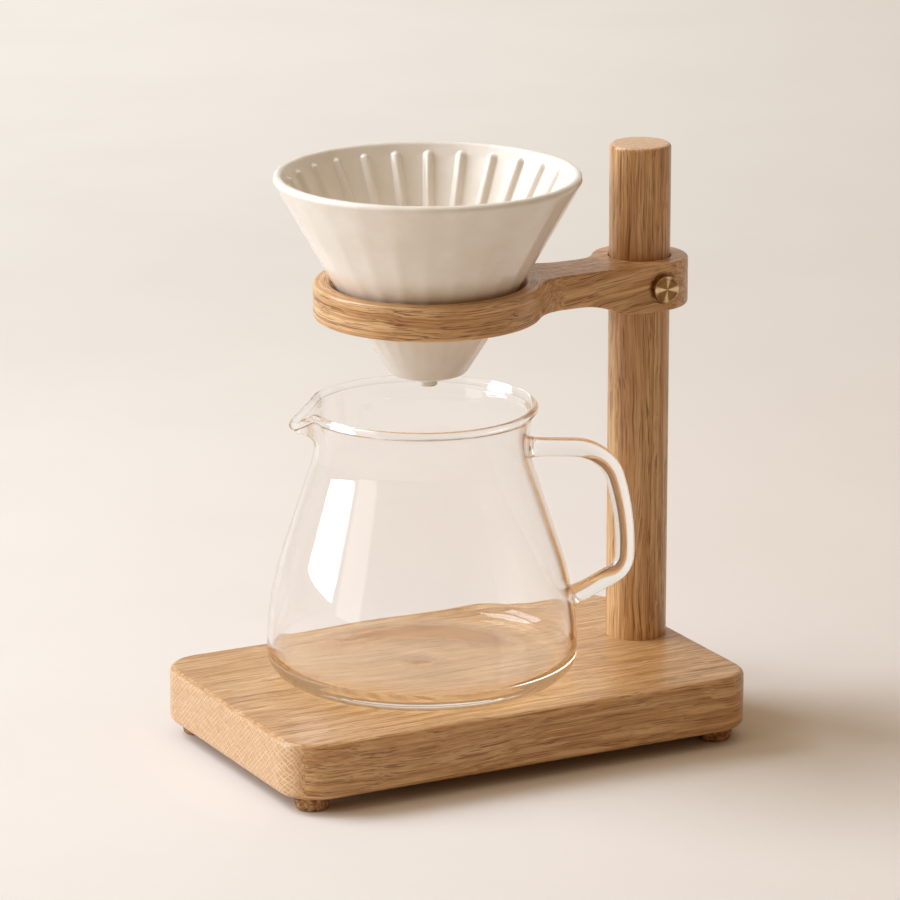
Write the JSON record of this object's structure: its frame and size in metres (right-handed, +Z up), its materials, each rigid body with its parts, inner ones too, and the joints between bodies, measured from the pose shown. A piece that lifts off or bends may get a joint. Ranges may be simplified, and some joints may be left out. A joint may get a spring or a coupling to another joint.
{
  "type": "pour_over_dripper_stand",
  "caption": "Oak pour-over stand on cork feet: a post, a sliding and swinging arm held by a brass thumb screw, a ribbed ceramic cone dripper in its ring, and a handled glass carafe.",
  "frame": {"origin": "middle of the board's footprint, on the surface that the cork feet stand on", "axes": "+X along the board from the carafe towards the post, +Y from the front towards the rear, +Z up along the post"},
  "size_m": [0.203, 0.128, 0.227],
  "materials": {
    "oak": "oiled oak with open grain",
    "cork": "granular pressed cork",
    "steel": "plain zinc-plated steel",
    "brass": "turned and spun brass",
    "glaze": "cream satin glaze",
    "glass": "clear heat-resistant glass"
  },
  "bodies": {
    "base": {"base_board": "oak", "foot_front_left": "cork", "foot_front_right": "cork", "foot_rear_left": "cork", "foot_rear_right": "cork"},
    "post_turned": {"post": "oak", "post_sleeve": "brass", "post_washer": "steel", "post_bolt": "steel"},
    "arm_set": {"arm": "oak", "arm_bush": "brass"},
    "pad": {"clamp_pad": "brass"},
    "screw": {"thumb_screw": "brass"},
    "cone": {"dripper": "glaze"},
    "carafe": {"carafe_body": "glass", "carafe_handle": "glass"}
  },
  "joints": [
    {"name": "arm_swivel", "type": "hinge", "parent": "base", "child": "post_turned", "pos_m": [0.084, 0.0065, 0.028], "axis": [0, 0, 1], "range_deg": [-90, 90]},
    {"name": "arm_height", "type": "slide", "parent": "post_turned", "child": "arm_set", "axis": [0, 0, 1], "range_m": [-0.028, 0.04]},
    {"name": "clamp_travel", "type": "slide", "parent": "arm_set", "child": "pad", "axis": [0, -1, 0], "range_m": [0, 0.003]},
    {"name": "clamp_turn", "type": "hinge", "parent": "pad", "child": "screw", "pos_m": [0.084, -0.0105, 0.173], "axis": [0, -1, 0], "range_deg": [0, 1081]},
    {"name": "dripper_lift", "type": "slide", "parent": "arm_set", "child": "cone", "axis": [0, 0, 1], "range_m": [0, 0.06]},
    {"name": "carafe_slide", "type": "slide", "parent": "base", "child": "carafe", "axis": [0, 1, 0], "range_m": [-0.14, 0]}
  ],
  "couplings": [
    {"joint": "clamp_turn", "follows": "clamp_travel", "rad_per_m": 6283.2}
  ]
}
